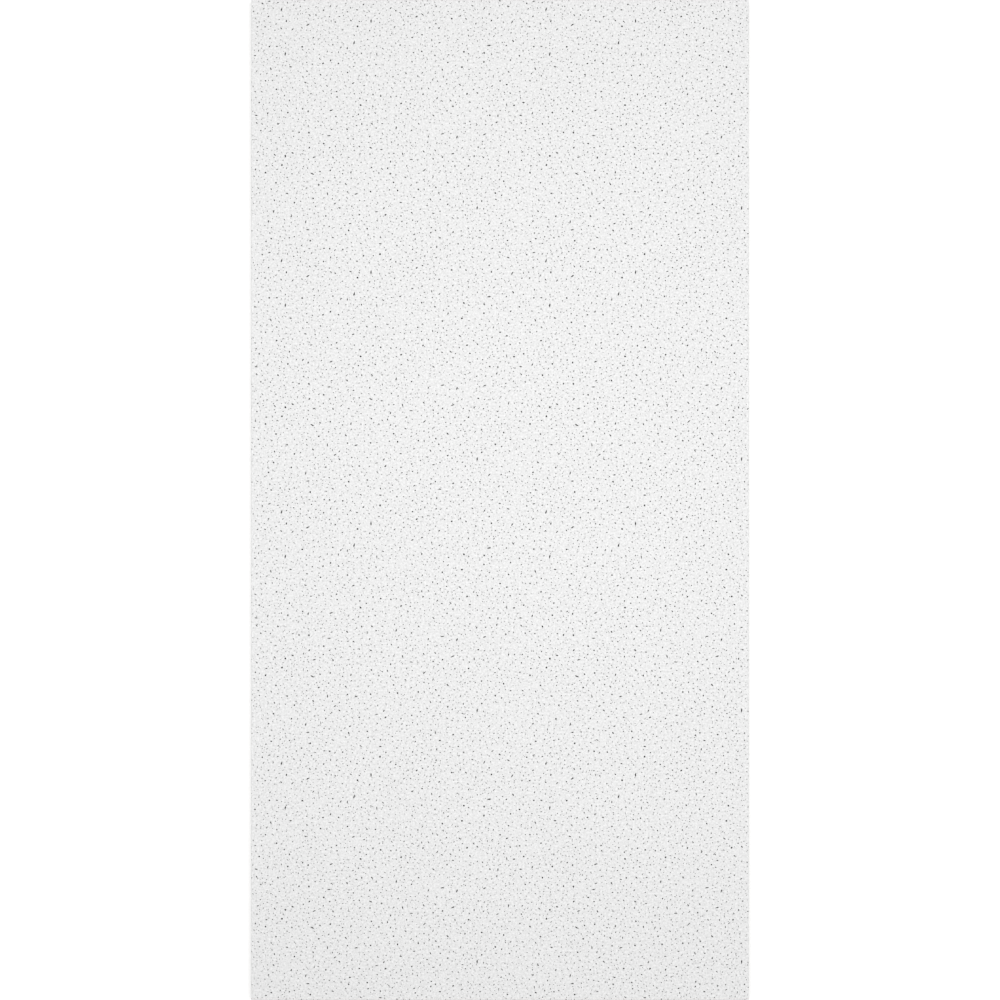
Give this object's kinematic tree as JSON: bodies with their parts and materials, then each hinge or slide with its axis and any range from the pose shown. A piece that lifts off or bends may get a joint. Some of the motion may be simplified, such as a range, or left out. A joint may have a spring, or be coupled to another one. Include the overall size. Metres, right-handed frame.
{
  "type": "suspended ceiling tile",
  "caption": "Flat rectangular lay-in ceiling panel of felted mineral fibre, white face punched with random pinholes and short fissures, square edges, plain back.",
  "frame": {"origin": "centre of the back face, which is the underside as the panel lies face up", "axes": "+Z out of the punched face, +Y along the panel's length, +X across its width"},
  "size_m": [0.6032, 1.2128, 0.0159],
  "materials": {
    "painted_board": "matt white factory paint on felted mineral fibre"
  },
  "bodies": {
    "root": {"tile": "painted_board"}
  },
  "joints": []
}
